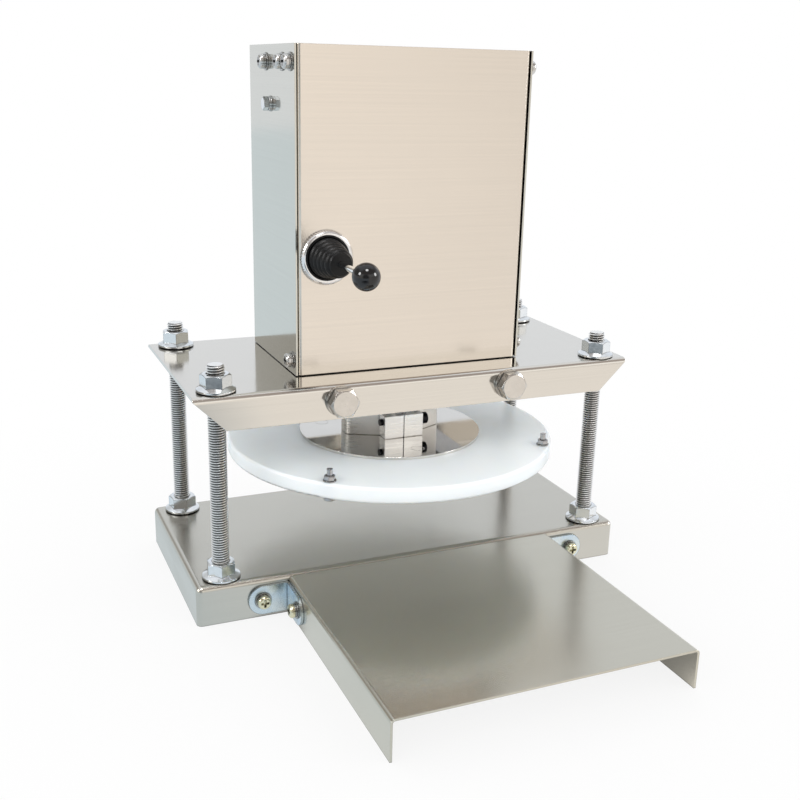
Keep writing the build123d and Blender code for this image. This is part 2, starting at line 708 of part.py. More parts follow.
def gearbox_cover():
    """Lid of the gearbox with the tongue that the hanger bolt passes through."""
    cover = Pos(0, 0, GEARBOX_TOP_Z) * extrude(gearbox_outline(0), GEARBOX_LID)
    stem = Box(TONGUE_W, TONGUE_D, TONGUE_RISE, align=RISING)
    cover += Pos(0, PIN_Y, GEARBOX_TOP_Z + GEARBOX_LID) * stem
    eye = Rot(0, 90, 0) * Cylinder(TONGUE_D / 2, TONGUE_W)
    hole = Rot(0, 90, 0) * Cylinder(PIN_D / 2 + THREAD_CLEAR, 2 * TONGUE_W)
    return cover + Pos(0, PIN_Y, PIN_Z) * eye - Pos(0, PIN_Y, PIN_Z) * hole


def drive_motor():
    can = Cylinder(MOTOR_D / 2, MOTOR_L, align=HANGING)
    can = fillet(can.faces().sort_by(Axis.Z)[0].edges(), MOTOR_ROUND)
    shaft_hole = Cylinder(MOTOR_SHAFT_D / 2 + RUN_CLEAR, MOTOR_L / 2, align=HANGING)
    return Pos(0, MOTOR_Y, GEARBOX_Z) * (can - shaft_hole)


def motor_pinion():
    """Pinion and motor shaft in one, with a tooth space towards the screw gear."""
    space_turn = 270 + 180 / PINION_TEETH
    wheel = Pos(0, MOTOR_Y, GEAR_Z) * Rot(0, 0, space_turn) * gear(PINION_TEETH, MOTOR_SHAFT_D)
    foot = GEARBOX_Z - MOTOR_L / 2 + FREE_CLEAR
    return wheel + Pos(0, MOTOR_Y, foot) * rod(MOTOR_SHAFT_D, GEAR_Z + GEAR_FACE - foot)


def screw_gear():
    """Gear on the lead screw, with a tooth towards the pinion."""
    return Pos(0, PRESS_Y, GEAR_Z) * Rot(0, 0, 90) * gear(SCREW_GEAR_TEETH, SCREW_D + 2 * RUN_CLEAR)


def lead_screw():
    return Pos(0, PRESS_Y, SCREW_END_Z) * rod(SCREW_D, GEAR_Z + GEAR_FACE - SCREW_END_Z)


def screw_bearing():
    return Pos(0, PRESS_Y, BEARING_Z) * ring(BEARING_D, SCREW_D + 2 * RUN_CLEAR, BEARING_H)


def actuator_tube():
    return Pos(0, PRESS_Y, TUBE_END_Z) * ring(TUBE_D, TUBE_BORE, GEARBOX_Z - TUBE_END_Z)


def tube_bush():
    bush = ring(TUBE_BORE - 2 * RUN_CLEAR, PISTON_D + 2 * RUN_CLEAR, BUSH_L)
    return Pos(0, PRESS_Y, TUBE_END_Z) * bush


def tube_guide_ring():
    """Plastic ring that steadies the tube in the beam's hole."""
    bore = TUBE_D + 2 * RUN_CLEAR
    sleeve = bore + 2 * GUIDE_WALL
    collar = ring(sleeve + 2 * GUIDE_FLANGE, bore, GUIDE_FLANGE_T)
    guide = ring(sleeve, bore, BEAM_T) + Pos(0, 0, BEAM_T) * collar
    return Pos(0, PRESS_Y, BEAM_UNDER_Z) * guide


def hanger_bolt():
    reach = CASE_W / 2 + PIN_WASHER_T
    length = 2 * reach + PIN_SPRING_T + PIN_NUT_H + SCREW_TIP
    return seat(-reach - PIN_SPRING_T, PIN_Y, PIN_Z, "left") * hex_bolt(PIN_HEX, PIN_HEAD, PIN_D, length)


def hanger_washers():
    """Flat washers on both sides and a spring washer under the bolt's head."""
    flat = ring(PIN_WASHER_D, PIN_D + 2 * THREAD_CLEAR, PIN_WASHER_T)
    washers = [seat(s * CASE_W / 2, PIN_Y, PIN_Z, side_name(s)) * flat for s in SIDES]
    spring = split_washer(PIN_SPRING_D, PIN_D, PIN_SPRING_T)
    return group(washers + [seat(-CASE_W / 2 - PIN_WASHER_T, PIN_Y, PIN_Z, "left") * spring])


def hanger_nut():
    return seat(CASE_W / 2 + PIN_WASHER_T, PIN_Y, PIN_Z, "right") * hex_nut(PIN_HEX, PIN_D, PIN_NUT_H)


def hanger_sleeves():
    """Spacers that keep the actuator in the middle of the casing."""
    length = CASE_W / 2 - CASE_T - TONGUE_W / 2
    sleeve = ring(SLEEVE_D, PIN_D + 2 * THREAD_CLEAR, length)
    return group([seat(s * TONGUE_W / 2, PIN_Y, PIN_Z, side_name(s)) * sleeve for s in SIDES])


# Press head


def piston_rod():
    length = DRIVE_NUT_Z - HUB_Z
    piston = rod(PISTON_D, length) - Pos(0, 0, PISTON_FOOT) * rod(PISTON_BORE, length - PISTON_FOOT)
    return Pos(0, PRESS_Y, HUB_Z) * piston


def drive_nut():
    nut = ring(TUBE_BORE - 2 * FREE_CLEAR, SCREW_D + 2 * RUN_CLEAR, DRIVE_NUT_L)
    return Pos(0, PRESS_Y, DRIVE_NUT_Z) * nut


CLAMP_BOLT_Z = HUB_Z + CLAMP_BOLT_RISE
CLAMP_BOLT_Y = [PRESS_Y + s * (CLAMP_D / 2 - CLAMP_BOLT_INSET) for s in SIDES]


def rod_clamps():
    """Two bars that grip the piston rod between them."""
    width = CLAMP_W / 2 - CLAMP_SPLIT / 2
    bar = Box(width, CLAMP_D, CLAMP_H, align=RISING)
    bar = chamfer(bar.faces().sort_by(Axis.Z)[0].edges(), HUB_FOOT_EDGE)
    halves = []
    for side in SIDES:
        middle = side * (CLAMP_SPLIT / 2 + width / 2)
        half = Pos(middle, PRESS_Y, HUB_Z) * bar
        half -= Pos(0, PRESS_Y, HUB_Z) * rod(PISTON_D + 2 * RUN_CLEAR, CLAMP_H)
        for y in CLAMP_BOLT_Y:
            half -= seat(0, y, CLAMP_BOLT_Z, "right") * Cylinder(CLAMP_BOLT_D / 2 + THREAD_CLEAR, 2 * CLAMP_W)
        halves.append(half)
    return group(halves)


def clamp_bolts():
    """Socket screws through the right bar, threaded into the left one."""
    head = rod(CLAMP_HEAD_D, CLAMP_HEAD_H)
    head = fillet(head.faces().sort_by(Axis.Z)[-1].edges(), CLAMP_HEAD_ROUND)
    socket = extrude(RegularPolygon(CLAMP_SOCKET / 2, 6, major_radius=False), CLAMP_SOCKET_DEPTH)
    head -= Pos(0, 0, CLAMP_HEAD_H - CLAMP_SOCKET_DEPTH) * socket
    bolt = head + Cylinder(CLAMP_BOLT_D / 2, CLAMP_W + CLAMP_BOLT_STUB, align=HANGING)
    return group([seat(CLAMP_W / 2, y, CLAMP_BOLT_Z, "right") * bolt for y in CLAMP_BOLT_Y])


def hub_wings():
    """Polished blocks that spread the rod's push over the plate, tapering away from the clamp."""
    root_y = CLAMP_D / 2 - CLAMP_BOLT_INSET - CLAMP_HEAD_D / 2 - 2 * FREE_CLEAR
    tip_y = HUB_TIP_D / 2
    wings = []
    for side in SIDES:
        root_x = side * CLAMP_W / 2
        tip_x = side * HUB_SPAN / 2
        outline = [(root_x, -root_y), (tip_x, -tip_y), (tip_x, tip_y), (root_x, root_y)]
        wing = extrude(make_face(Polyline(*outline, close=True)), HUB_H)
        far = wing.edges().filter_by(Axis.Z).sort_by(lambda edge: side * edge.center().X)[-2:]
        wing = fillet(far, HUB_ROUND)
        wing = chamfer(wing.faces().sort_by(Axis.Z)[0].edges(), HUB_FOOT_EDGE)
        wings.append(Pos(0, PRESS_Y, HUB_Z) * wing)
    return group(wings)


def ring_places(radius, angles):
    """Points on a circle about the press axis."""
    turns = [math.radians(angle) for angle in angles]
    return [(radius * math.cos(t), PRESS_Y + radius * math.sin(t)) for t in turns]


DISC_SCREW_TURNS = [360 * i / DISC_SCREW_COUNT - 90 for i in range(DISC_SCREW_COUNT)]
RIM_SCREW_TURNS = [angle + half for angle in RIM_SCREW_ANGLES for half in (0, 180)]
DISC_SCREWS = ring_places(DISC_SCREW_RING / 2, DISC_SCREW_TURNS)
RIM_SCREWS = ring_places(DISC_D / 2 - RIM_SCREW_INSET, RIM_SCREW_TURNS)


def sunk_screw(grow):
    """Countersunk screw, flush with Z = 0, grown all round by a clearance."""
    wide = DISC_SCREW_HEAD_D / 2 + grow
    slim = DISC_SCREW_D / 2 + grow
    depth = PLATE_T + DISC_SCREW_BITE + grow
    return turned([(0, 0), (wide, 0), (slim, slim - wide), (slim, -depth), (0, -depth)])


def backing_plate():
    plate = Pos(0, PRESS_Y, PLATE_Z) * rod(PLATE_D, PLATE_T)
    for x, y in DISC_SCREWS:
        plate -= Pos(x, y, HUB_Z) * sunk_screw(THREAD_CLEAR)
    return plate


def disc_screws():
    return group([Pos(x, y, HUB_Z) * sunk_screw(0) for x, y in DISC_SCREWS])


def press_disc():
    disc = rod(DISC_D, DISC_T)
    disc = fillet(disc.edges().filter_by(GeomType.CIRCLE), DISC_ROUND)
    disc = Pos(0, PRESS_Y, DISC_Z) * disc
    for x, y in DISC_SCREWS:
        disc -= Pos(x, y, HUB_Z) * sunk_screw(THREAD_CLEAR)
    for x, y in RIM_SCREWS:
        disc -= Pos(x, y, DISC_Z) * rod(RIM_SCREW_D + 2 * THREAD_CLEAR, DISC_T)
    return disc


def rim_screws():
    """Screws that set the dough's thickness: a flat foot below the disc and a stub above."""
    shank = DISC_T + RIM_WASHER_T + RIM_NUT_H + RIM_SCREW_STUB
    foot = Cylinder(RIM_SCREW_HEAD_D / 2, RIM_SCREW_FOOT, align=HANGING)
    foot = fillet(foot.faces().sort_by(Axis.Z)[0].edges(), RIM_SCREW_ROUND)
    return group([Pos(x, y, DISC_Z) * (foot + rod(RIM_SCREW_D, shank)) for x, y in RIM_SCREWS])


def rim_washers():
    washer = ring(RIM_WASHER_D, RIM_SCREW_D + 2 * THREAD_CLEAR, RIM_WASHER_T)
    return group([Pos(x, y, PLATE_Z) * washer for x, y in RIM_SCREWS])


def rim_nuts():
    nut = hex_nut(RIM_NUT_HEX, RIM_SCREW_D, RIM_NUT_H)
    return group([Pos(x, y, PLATE_Z + RIM_WASHER_T) * nut for x, y in RIM_SCREWS])


# Joystick switch


def switch_seat(y):
    """Place on the lever's axis, pointing out of the front panel."""
    return seat(SWITCH_X, y, SWITCH_Z, "front")


def switch_ring():
    bezel = ring(SWITCH_RING_D, SWITCH_RING_D - 2 * SWITCH_RING_WALL, SWITCH_RING_H)
    front = bezel.edges().filter_by(GeomType.CIRCLE).group_by(Axis.Z)[-1].sort_by(SortBy.RADIUS)[-1]
    return switch_seat(CASE_FRONT_Y) * fillet(front, SWITCH_RING_EDGE)


def switch_body():
    """Housing behind the panel with its bushing through it, hollowed for the lever."""
    body = Box(SWITCH_BODY_W, SWITCH_BODY_W, SWITCH_BODY_L, align=HANGING)
    body += rod(BUSHING_D, CASE_T + BUSHING_OUT)
    pivot = PIVOT_DEPTH - CASE_T
    rise = pivot + CASE_T + BUSHING_OUT
    cone = Cone(PIVOT_D / 2 + FREE_CLEAR, MOUTH_D / 2, rise, align=RISING)
    body -= Pos(0, 0, -pivot) * (cone + Sphere(PIVOT_D / 2 + FREE_CLEAR))
    return switch_seat(CASE_FRONT_Y + CASE_T) * body


def contact_block():
    return switch_seat(SWITCH_BACK_Y) * Box(CONTACT_W, CONTACT_H, CONTACT_L, align=HANGING)


def lever_shaft():
    length = PIVOT_Y - BALL_Y
    return switch_seat(PIVOT_Y) * (rod(LEVER_D, length) + Sphere(PIVOT_D / 2))


def lever_ball():
    socket = Cylinder(LEVER_D / 2 + RUN_CLEAR, LEVER_BALL_D, align=HANGING)
    return switch_seat(BALL_Y) * (Sphere(LEVER_BALL_D / 2) - socket)


def lever_boot():
    """Rubber bellows from the ring to the lever."""
    wide = SWITCH_RING_D / 2 - SWITCH_RING_WALL - FREE_CLEAR
    tip = BOOT_TIP_D / 2
    pitch = (BOOT_L - BOOT_FLANGE) / (BOOT_RIBS + 0.5)
    outside = [(wide, 0), (wide, BOOT_FLANGE)]
    for rib in range(BOOT_RIBS):
        crest = wide + (tip - wide) * (rib + 0.5) / BOOT_RIBS
        height = BOOT_FLANGE + pitch * rib
        outside += [
            (crest - BOOT_GROOVE / 2, height + pitch * RIB_VALLEY),
            (crest + BOOT_GROOVE / 2, height + pitch * RIB_START),
            (crest + BOOT_GROOVE / 2, height + pitch * RIB_END),
        ]
    outside += [(tip, BOOT_L - pitch / 2), (tip - BOOT_WALL, BOOT_L)]
    bore = LEVER_D / 2 + 2 * RUN_CLEAR
    hollow = BUSHING_D / 2 + FREE_CLEAR
    inside = [(bore, BOOT_L), (bore, BOOT_L - pitch), (hollow, BUSHING_OUT + FREE_CLEAR), (hollow, 0)]
    return switch_seat(CASE_FRONT_Y) * turned(outside + inside)


# Power supply, leads and gland


def power_supply():
    box = Box(SUPPLY_W, SUPPLY_D, SUPPLY_H, align=RISING)
    box = Pos(SUPPLY_X, SUPPLY_MID_Y, SUPPLY_Z) * chamfer(box.edges().filter_by(Axis.Z), SUPPLY_ROUND)
    for y, z in SUPPLY_SCREWS:
        hole = Cylinder(SMALL_D / 2 + THREAD_CLEAR, 2 * (SUPPLY_SCREW_BITE + HOLE_SPARE))
        box -= seat(SUPPLY_X + SUPPLY_W / 2, y, z, "right") * hole
    return box


def supply_screws():
    screw = small_screw(CASE_T + SUPPLY_SCREW_BITE)
    return group([seat(CASE_W / 2, y, z, "right") * screw for y, z in SUPPLY_SCREWS])


def lead(points):
    """Round cable along straight runs joined by bends."""
    path = FilletPolyline(*points, radius=LEAD_BEND)
    return sweep(Plane(path @ 0, z_dir=path % 0) * Circle(LEAD_D / 2), path)


def motor_lead():
    entry = SUPPLY_X - SUPPLY_W / 2
    return lead([(0, MOTOR_Y, MOTOR_END_Z), (0, MOTOR_Y, LEAD_Z), (entry, MOTOR_Y, LEAD_Z)])


def switch_lead():
    """Cable down from the contact block, back past the tube and across under the motor."""
    start_y = SWITCH_BACK_Y + CONTACT_L / 2
    cross_y = MOTOR_Y + LEAD_SPACING
    return lead([
        (SWITCH_X, start_y, SWITCH_Z - CONTACT_H / 2),
        (SWITCH_X, start_y, LEAD_Z),
        (SWITCH_X, cross_y, LEAD_Z),
        (SUPPLY_X - SUPPLY_W / 2, cross_y, LEAD_Z),
    ])


def cable_gland():
    """Gland through the rear wall, bored for the mains cord."""
    dome = rod(GLAND_DOME_D, GLAND_DOME_H)
    dome = fillet(dome.faces().sort_by(Axis.Z)[-1].edges(), GLAND_DOME_ROUND)
    gland = hex_block(GLAND_HEX, GLAND_HEX_H) + Pos(0, 0, GLAND_HEX_H) * dome
    gland += Cylinder(GLAND_THREAD_D / 2, GLAND_THREAD_L, align=HANGING)
    bore = Cylinder(GLAND_BORE / 2, 4 * (GLAND_DOME_H + GLAND_THREAD_L))
    return seat(GLAND_X, CASE_BACK_Y, GLAND_Z, "rear") * (gland - bore)


def gland_locknut():
    inner = CASE_BACK_Y - CASE_T
    return seat(GLAND_X, inner, GLAND_Z, "front") * hex_nut(LOCKNUT_HEX, GLAND_THREAD_D, LOCKNUT_H)


# Tray and its brackets


def tray():
    sheet = Rot(0, 0, 90) * folded_channel(TRAY_L, TRAY_W, TRAY_H, TRAY_T, TRAY_BEND)
    sheet = Pos(TRAY_X, (TRAY_BACK_Y + TRAY_FRONT_Y) / 2, TRAY_H) * sheet
    for side in SIDES:
        hole = Cylinder(SMALL_HOLE / 2, 3 * TRAY_T)
        wall_x = TRAY_X + side * TRAY_W / 2
        sheet -= seat(wall_x, BRACKET_TRAY_SCREW_Y, BRACKET_MID_Z, side_name(side)) * hole
    return sheet


def bracket_leg(length):
    """Flat leg along +X with a round end and a screw hole, standing on the XZ plane."""
    straight = length - BRACKET_H / 2
    leg = Box(straight, BRACKET_T, BRACKET_H, align=(Align.MIN, Align.MAX, Align.CENTER))
    round_end = Pos(straight, 0, 0) * FACING["front"] * rod(BRACKET_H, BRACKET_T)
    hole = Pos(length - BRACKET_SCREW_INSET, 0, 0) * FACING["front"] * Cylinder(SMALL_HOLE / 2, 3 * BRACKET_T)
    return leg + round_end - hole


def tray_brackets():
    on_base = bracket_leg(BRACKET_BASE_LEG)
    on_tray = mirror(Rot(0, 0, -90) * bracket_leg(BRACKET_TRAY_LEG), Plane.YZ)
    corner = on_base + on_tray
    right = Pos(BRACKET_X, TRAY_BACK_Y, BRACKET_MID_Z) * corner
    return group([Pos(TRAY_X, 0, 0) * bracket for bracket in (right, mirror(right, Plane.YZ))])


def bracket_places(reach):
    """Seats of the bracket screws, a given distance above the brackets' faces."""
    out = BRACKET_T + reach
    places = []
    for side in SIDES:
        base_x = TRAY_X + side * BRACKET_BASE_SCREW_X
        tray_x = TRAY_X + side * (BRACKET_X + out)
        places.append(seat(base_x, TRAY_BACK_Y - out, BRACKET_MID_Z, "front"))
        places.append(seat(tray_x, BRACKET_TRAY_SCREW_Y, BRACKET_MID_Z, side_name(side)))
    return places


def bracket_screws():
    washers = SMALL_WASHER_T + SMALL_SPRING_T
    screw = small_screw(washers + BRACKET_T + max(BASE_T, TRAY_T) + SMALL_NUT_H + SCREW_TIP)
    return group([place * screw for place in bracket_places(washers)])


def bracket_washers():
    flat = [place * small_washer() for place in bracket_places(0)]
    return group(flat + [place * small_spring() for place in bracket_places(SMALL_WASHER_T)])


def bracket_nuts():
    nuts = []
    for side in SIDES:
        base_x = TRAY_X + side * BRACKET_BASE_SCREW_X
        tray_x = TRAY_X + side * (BRACKET_X - TRAY_T)
        on_base = seat(base_x, TRAY_BACK_Y + BASE_T, BRACKET_MID_Z, "rear")
        on_tray = seat(tray_x, BRACKET_TRAY_SCREW_Y, BRACKET_MID_Z, side_name(-side))
        nuts += [on_base * small_nut(), on_tray * small_nut()]
    return group(nuts)


PIECES = [
    base_pan, threaded_rods, flange_nuts, lower_nuts, upper_beam, cross_bars, beam_bolts, beam_spring_washers,
    casing_sides, casing_rear, front_cover, top_lid, foot_screws,
    case_screws, case_flat_washers, case_spring_washers, case_nuts,
    gearbox_housing, gearbox_cover, drive_motor, motor_pinion, screw_gear, lead_screw, screw_bearing,
    actuator_tube, tube_bush, tube_guide_ring, hanger_bolt, hanger_washers, hanger_nut, hanger_sleeves,
    piston_rod, drive_nut, rod_clamps, clamp_bolts, hub_wings, backing_plate, disc_screws,
    press_disc, rim_screws, rim_washers, rim_nuts,
    switch_ring, switch_body, contact_block, lever_shaft, lever_ball, lever_boot,
    power_supply, supply_screws, motor_lead, switch_lead, cable_gland, gland_locknut,
    tray, tray_brackets, bracket_screws, bracket_washers, bracket_nuts,
]

os.makedirs("parts", exist_ok=True)
for piece in PIECES:
    export_step(Pos(0, -FOOTPRINT_MID, 0) * piece(), f"parts/{piece.__name__}.step")
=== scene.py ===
import json
import math

import bmesh
import bpy
from mathutils import Matrix, Vector
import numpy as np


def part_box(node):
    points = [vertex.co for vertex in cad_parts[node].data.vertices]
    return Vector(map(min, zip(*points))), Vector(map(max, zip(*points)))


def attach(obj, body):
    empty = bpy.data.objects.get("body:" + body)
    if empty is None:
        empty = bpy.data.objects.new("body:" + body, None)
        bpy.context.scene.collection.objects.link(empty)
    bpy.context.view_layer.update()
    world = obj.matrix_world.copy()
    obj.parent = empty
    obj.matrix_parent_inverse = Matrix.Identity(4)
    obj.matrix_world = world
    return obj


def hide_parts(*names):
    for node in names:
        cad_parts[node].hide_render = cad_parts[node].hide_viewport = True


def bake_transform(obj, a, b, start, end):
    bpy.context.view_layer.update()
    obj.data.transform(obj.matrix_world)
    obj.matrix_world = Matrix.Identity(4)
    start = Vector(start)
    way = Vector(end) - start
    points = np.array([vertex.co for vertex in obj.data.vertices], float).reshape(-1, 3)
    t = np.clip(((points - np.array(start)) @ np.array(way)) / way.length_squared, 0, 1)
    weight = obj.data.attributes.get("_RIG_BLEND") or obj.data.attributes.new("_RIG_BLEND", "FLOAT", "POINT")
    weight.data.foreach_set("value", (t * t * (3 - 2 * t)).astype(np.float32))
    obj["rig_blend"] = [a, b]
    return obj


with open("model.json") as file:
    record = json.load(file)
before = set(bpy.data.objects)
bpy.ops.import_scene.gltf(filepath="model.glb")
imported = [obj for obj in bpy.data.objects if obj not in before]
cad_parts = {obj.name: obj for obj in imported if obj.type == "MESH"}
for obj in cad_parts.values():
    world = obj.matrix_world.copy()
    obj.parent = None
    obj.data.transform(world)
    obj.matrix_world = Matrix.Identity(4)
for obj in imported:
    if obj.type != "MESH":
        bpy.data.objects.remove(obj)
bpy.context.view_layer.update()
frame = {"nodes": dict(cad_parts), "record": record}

NODES = frame["nodes"]

# Camera, in metres and degrees
CAMERA_PLACE = Vector((-0.2960, -0.6358, 0.3595))
CAMERA_YAW = 23.53
CAMERA_PITCH = 17.185
CAMERA_ROLL = 1.379
CAMERA_LENS = 47.683
CAMERA_SENSOR = 36.0

WHITE = (1, 1, 1, 1)
BLACK = (0, 0, 0, 1)

# Room, for the camera and for plain light
FLOOR_HALF = 6.0
FLOOR_COLOUR = (0.72, 0.72, 0.72, 1)
FLOOR_BOUNCE = (0.38, 0.38, 0.38, 1)
FLOOR_GLOW = 0.85
GLOW_NEAR = 0.2
GLOW_FAR = 0.55
AMBIENT_LOW = 0.3
AMBIENT_BAND = 2.45
AMBIENT_HIGH = 0.3

# Room, as mirrors see it
FLOOR_PLAIN = (1.0, 1.0, 1.0, 1)
FLOOR_WARM = (0.99, 0.94, 0.88, 1)
FLOOR_COOL = (0.72, 0.80, 0.85, 1)
# painted shadow on the floor under the press, as mirrors see it
FLOOR_SHADE_UNDER_PRESS = (0.2, 0.2, 0.2, 1)
PRESS_SHADE_REACH = 0.1
# painted shadow on the floor in front at the left, as mirrors see it
FLOOR_SHADOW_PLACE = (-0.31, -0.48, 0)
FLOOR_SHADOW_REACH = (0.08, 0.32)
FLOOR_SHADOW_SHARE = 0.88
WALL_FRONT_LOW = (0.99, 0.93, 0.86, 1)
WALL_FRONT_MIDDLE = (1.18, 1.15, 1.1, 1)
WALL_FRONT_HIGH = (0.42, 0.37, 0.34, 1)
WALL_REAR = (0.84, 0.87, 0.91, 1)
WALL_LEFT_REAR = (0.36, 0.345, 0.31, 1)
WALL_CAMERA = (0.22, 0.215, 0.205, 1)
WALL_TOP = (0.92, 0.93, 0.95, 1)
CAMERA_SIDE = (-0.42, -0.88, 0.12)
LEFT_REAR_SIDE = (-0.8, 0.55, 0)
FAR_RIGHT_SIDE = (0.86, 0.51, 0)

# Lamps: turn from the front towards the right and rise above the floor, in degrees
LAMPS = {"left_lamp": (-84, 28), "right_lamp": (60, 19), "top_lamp": (-12, 66)}
LAMP_POWER = 2.0
LAMP_SIZE = 0.65
LAMP_TARGET = Vector((0, 0, 0.15))
LAMP_FAR = 2.0
GLINT_COLOUR = (11, 11, 11, 1)
GLINT_EDGE = (0.982, 0.990)

# Screw threads: each row is a share of the pitch and the height of the flank there
COLUMN_D = 0.012
COLUMN_PITCH = 0.00175
THREAD_DEPTH_RATIO = 0.6
THREAD_ROWS = ((0.0, 0.0), (0.25, 0.0), (0.5625, 1.0), (0.6875, 1.0))
COLUMN_SIDES = 28
COLUMN_POINT = 0.001
THREAD_HEIGHT = "thread_height"

# Joystick's bellows
BELLOWS_TIP = 0.0082
BELLOWS_FLANGE = 0.002
BELLOWS_LIFT = 0.0001
BELLOWS_RIBS = 5
BELLOWS_STEPS = 10
BELLOWS_GROOVE = 0.0011
BELLOWS_HOLE = 0.0023
BELLOWS_SIDES = 64

# Joystick's ring: shares of the wall, counted inwards, and of the height
RING_WALL = 0.0046
RING_PROFILE = (
    (1.0, 0.0), (1.0, 0.72), (0.92, 0.86), (0.72, 0.97), (0.5, 1.0), (0.34, 0.97), (0.22, 0.88), (0.12, 0.74),
)
KNURL_TOP = 0.62
KNURL_FOOT = 0.12
KNURL_DEPTH = 0.00035
KNURL_TEETH = 60
KNURL_STEPS = 4

SMOOTH_ANGLE = math.radians(35)
FORWARD = Matrix.Rotation(math.radians(90), 4, "X")


# Node tree helpers


def add_node(tree, kind, **settings):
    node = tree.nodes.new(kind)
    for key, value in settings.items():
        setattr(node, key, value)
    return node


def new_material(name):
    material = bpy.data.materials.new(name)
    material.use_nodes = True
    tree = material.node_tree
    return material, tree, tree.nodes["Principled BSDF"]


def object_point(tree, scale):
    """Place on the object in metres, stretched along each axis."""
    point = add_node(tree, "ShaderNodeTexCoord")
    stretch = add_node(tree, "ShaderNodeMapping")
    stretch.inputs["Scale"].default_value = scale
    tree.links.new(point.outputs["Object"], stretch.inputs["Vector"])
    return stretch.outputs["Vector"]


def noise(tree, scale, detail=3.0, roughness=0.5):
    """Noise whose frequency along each axis is given per metre."""
    texture = add_node(tree, "ShaderNodeTexNoise")
    texture.inputs["Scale"].default_value = 1.0
    texture.inputs["Detail"].default_value = detail
    texture.inputs["Roughness"].default_value = roughness
    tree.links.new(object_point(tree, scale), texture.inputs["Vector"])
    return texture.outputs["Fac"]


def blend_colour(tree, factor, low, high):
    """Colour that goes from one to the other with a factor."""
    mix = add_node(tree, "ShaderNodeMix", data_type="RGBA")
    tree.links.new(factor, mix.inputs["Factor"])
    for socket, value in ((mix.inputs[6], low), (mix.inputs[7], high)):
        if isinstance(value, bpy.types.NodeSocket):
            tree.links.new(value, socket)
        else:
            socket.default_value = value
    return mix.outputs[2]


def remap(tree, value, low, high, to_low, to_high):
    spread = add_node(tree, "ShaderNodeMapRange")
    for name, number in (("From Min", low), ("From Max", high), ("To Min", to_low), ("To Max", to_high)):
        spread.inputs[name].default_value = number
    tree.links.new(value, spread.inputs["Value"])
    return spread.outputs["Result"]


def combine(tree, operation, first, second):
    """Sum, product or other pair operation on two values."""
    node = add_node(tree, "ShaderNodeMath", operation=operation)
    for socket, value in zip(node.inputs, (first, second)):
        if isinstance(value, bpy.types.NodeSocket):
            tree.links.new(value, socket)
        else:
            socket.default_value = value
    return node.outputs["Value"]


def round_edges(tree, shader, radius):
    """Edges that shade as if slightly rounded."""
    bevel = add_node(tree, "ShaderNodeBevel", samples=4)
    bevel.inputs["Radius"].default_value = radius
    tree.links.new(bevel.outputs["Normal"], shader.inputs["Normal"])


def raise_bump(tree, shader, height, distance, strength):
    """Fine relief on top of the normal that the shader already has."""
    bump = add_node(tree, "ShaderNodeBump")
    bump.inputs["Distance"].default_value = distance
    bump.inputs["Strength"].default_value = strength
    tree.links.new(height, bump.inputs["Height"])
    for link in shader.inputs["Normal"].links:
        tree.links.new(link.from_socket, bump.inputs["Normal"])
    tree.links.new(bump.outputs["Normal"], shader.inputs["Normal"])


def vary_roughness(tree, shader, pattern, least, most):
    """Roughness that follows a pattern from its least to its most."""
    tree.links.new(remap(tree, pattern, 0.3, 0.7, least, most), shader.inputs["Roughness"])


def shade(colour, factor):
    return tuple(min(1.0, part * factor) for part in colour) + (1,)


def paint_crevice_shade(tree, shader, reach, dark):
    """Painted shade in corners and joints, on top of the colour that the shader already has."""
    near = add_node(tree, "ShaderNodeAmbientOcclusion", samples=8)
    near.inputs["Distance"].default_value = reach
    colour = shader.inputs["Base Color"].links[0].from_socket
    opening = remap(tree, near.outputs["AO"], 0.35, 0.85, 0, 1)
    tree.links.new(blend_colour(tree, opening, dark, colour), shader.inputs["Base Color"])


def paint_edge_shade(tree, shader, width, dark):
    """Painted shade as a dark line along sharp edges, on top of the colour that the shader already has."""
    flat = add_node(tree, "ShaderNodeNewGeometry")
    bevel = add_node(tree, "ShaderNodeBevel", samples=6)
    bevel.inputs["Radius"].default_value = width
    same = add_node(tree, "ShaderNodeVectorMath", operation="DOT_PRODUCT")
    tree.links.new(flat.outputs["True Normal"], same.inputs[0])
    tree.links.new(bevel.outputs["Normal"], same.inputs[1])
    edge = remap(tree, same.outputs["Value"], 0.91, 0.99, 1, 0)
    colour = shader.inputs["Base Color"].links[0].from_socket
    tree.links.new(blend_colour(tree, edge, colour, dark), shader.inputs["Base Color"])


# Materials


def brushed_sheet(name, colour, grain, roughness):
    """Satin stainless sheet: fine grain along one axis, faint smears, reflections drawn across the grain."""
    material, tree, shader = new_material(name)
    fine = tuple(6.0 if axis == grain else 1800.0 for axis in "XYZ")
    broad = tuple(3.0 if axis == grain else 420.0 for axis in "XYZ")
    lines = noise(tree, fine, detail=2.0)
    bands = noise(tree, broad, detail=2.0)
    smears = noise(tree, (11, 11, 11), detail=4.0, roughness=0.6)
    fine_part = combine(tree, "MULTIPLY", lines, 0.75)
    broad_part = combine(tree, "MULTIPLY", bands, 0.25)
    streaks = remap(tree, combine(tree, "ADD", fine_part, broad_part), 0.3, 0.7, 0, 1)
    toned = blend_colour(tree, streaks, shade(colour, 0.975), shade(colour, 1.022))
    clouded = blend_colour(tree, remap(tree, smears, 0.35, 0.7, 0, 0.25), toned, shade(colour, 0.94))
    tree.links.new(clouded, shader.inputs["Base Color"])
    vary_roughness(tree, shader, smears, roughness * 0.85, roughness * 1.2)
    shader.inputs["Metallic"].default_value = 1.0
    shader.inputs["Anisotropic"].default_value = 0.35
    tangent = add_node(tree, "ShaderNodeTangent", direction_type="RADIAL", axis=grain)
    tree.links.new(tangent.outputs["Tangent"], shader.inputs["Tangent"])
    # painted shade along the sheet's seams and round the parts fixed to it
    paint_crevice_shade(tree, shader, 0.0012, shade(colour, 0.35))
    round_edges(tree, shader, 0.0005)
    raise_bump(tree, shader, lines, 0.00002, 0.25)
    return material


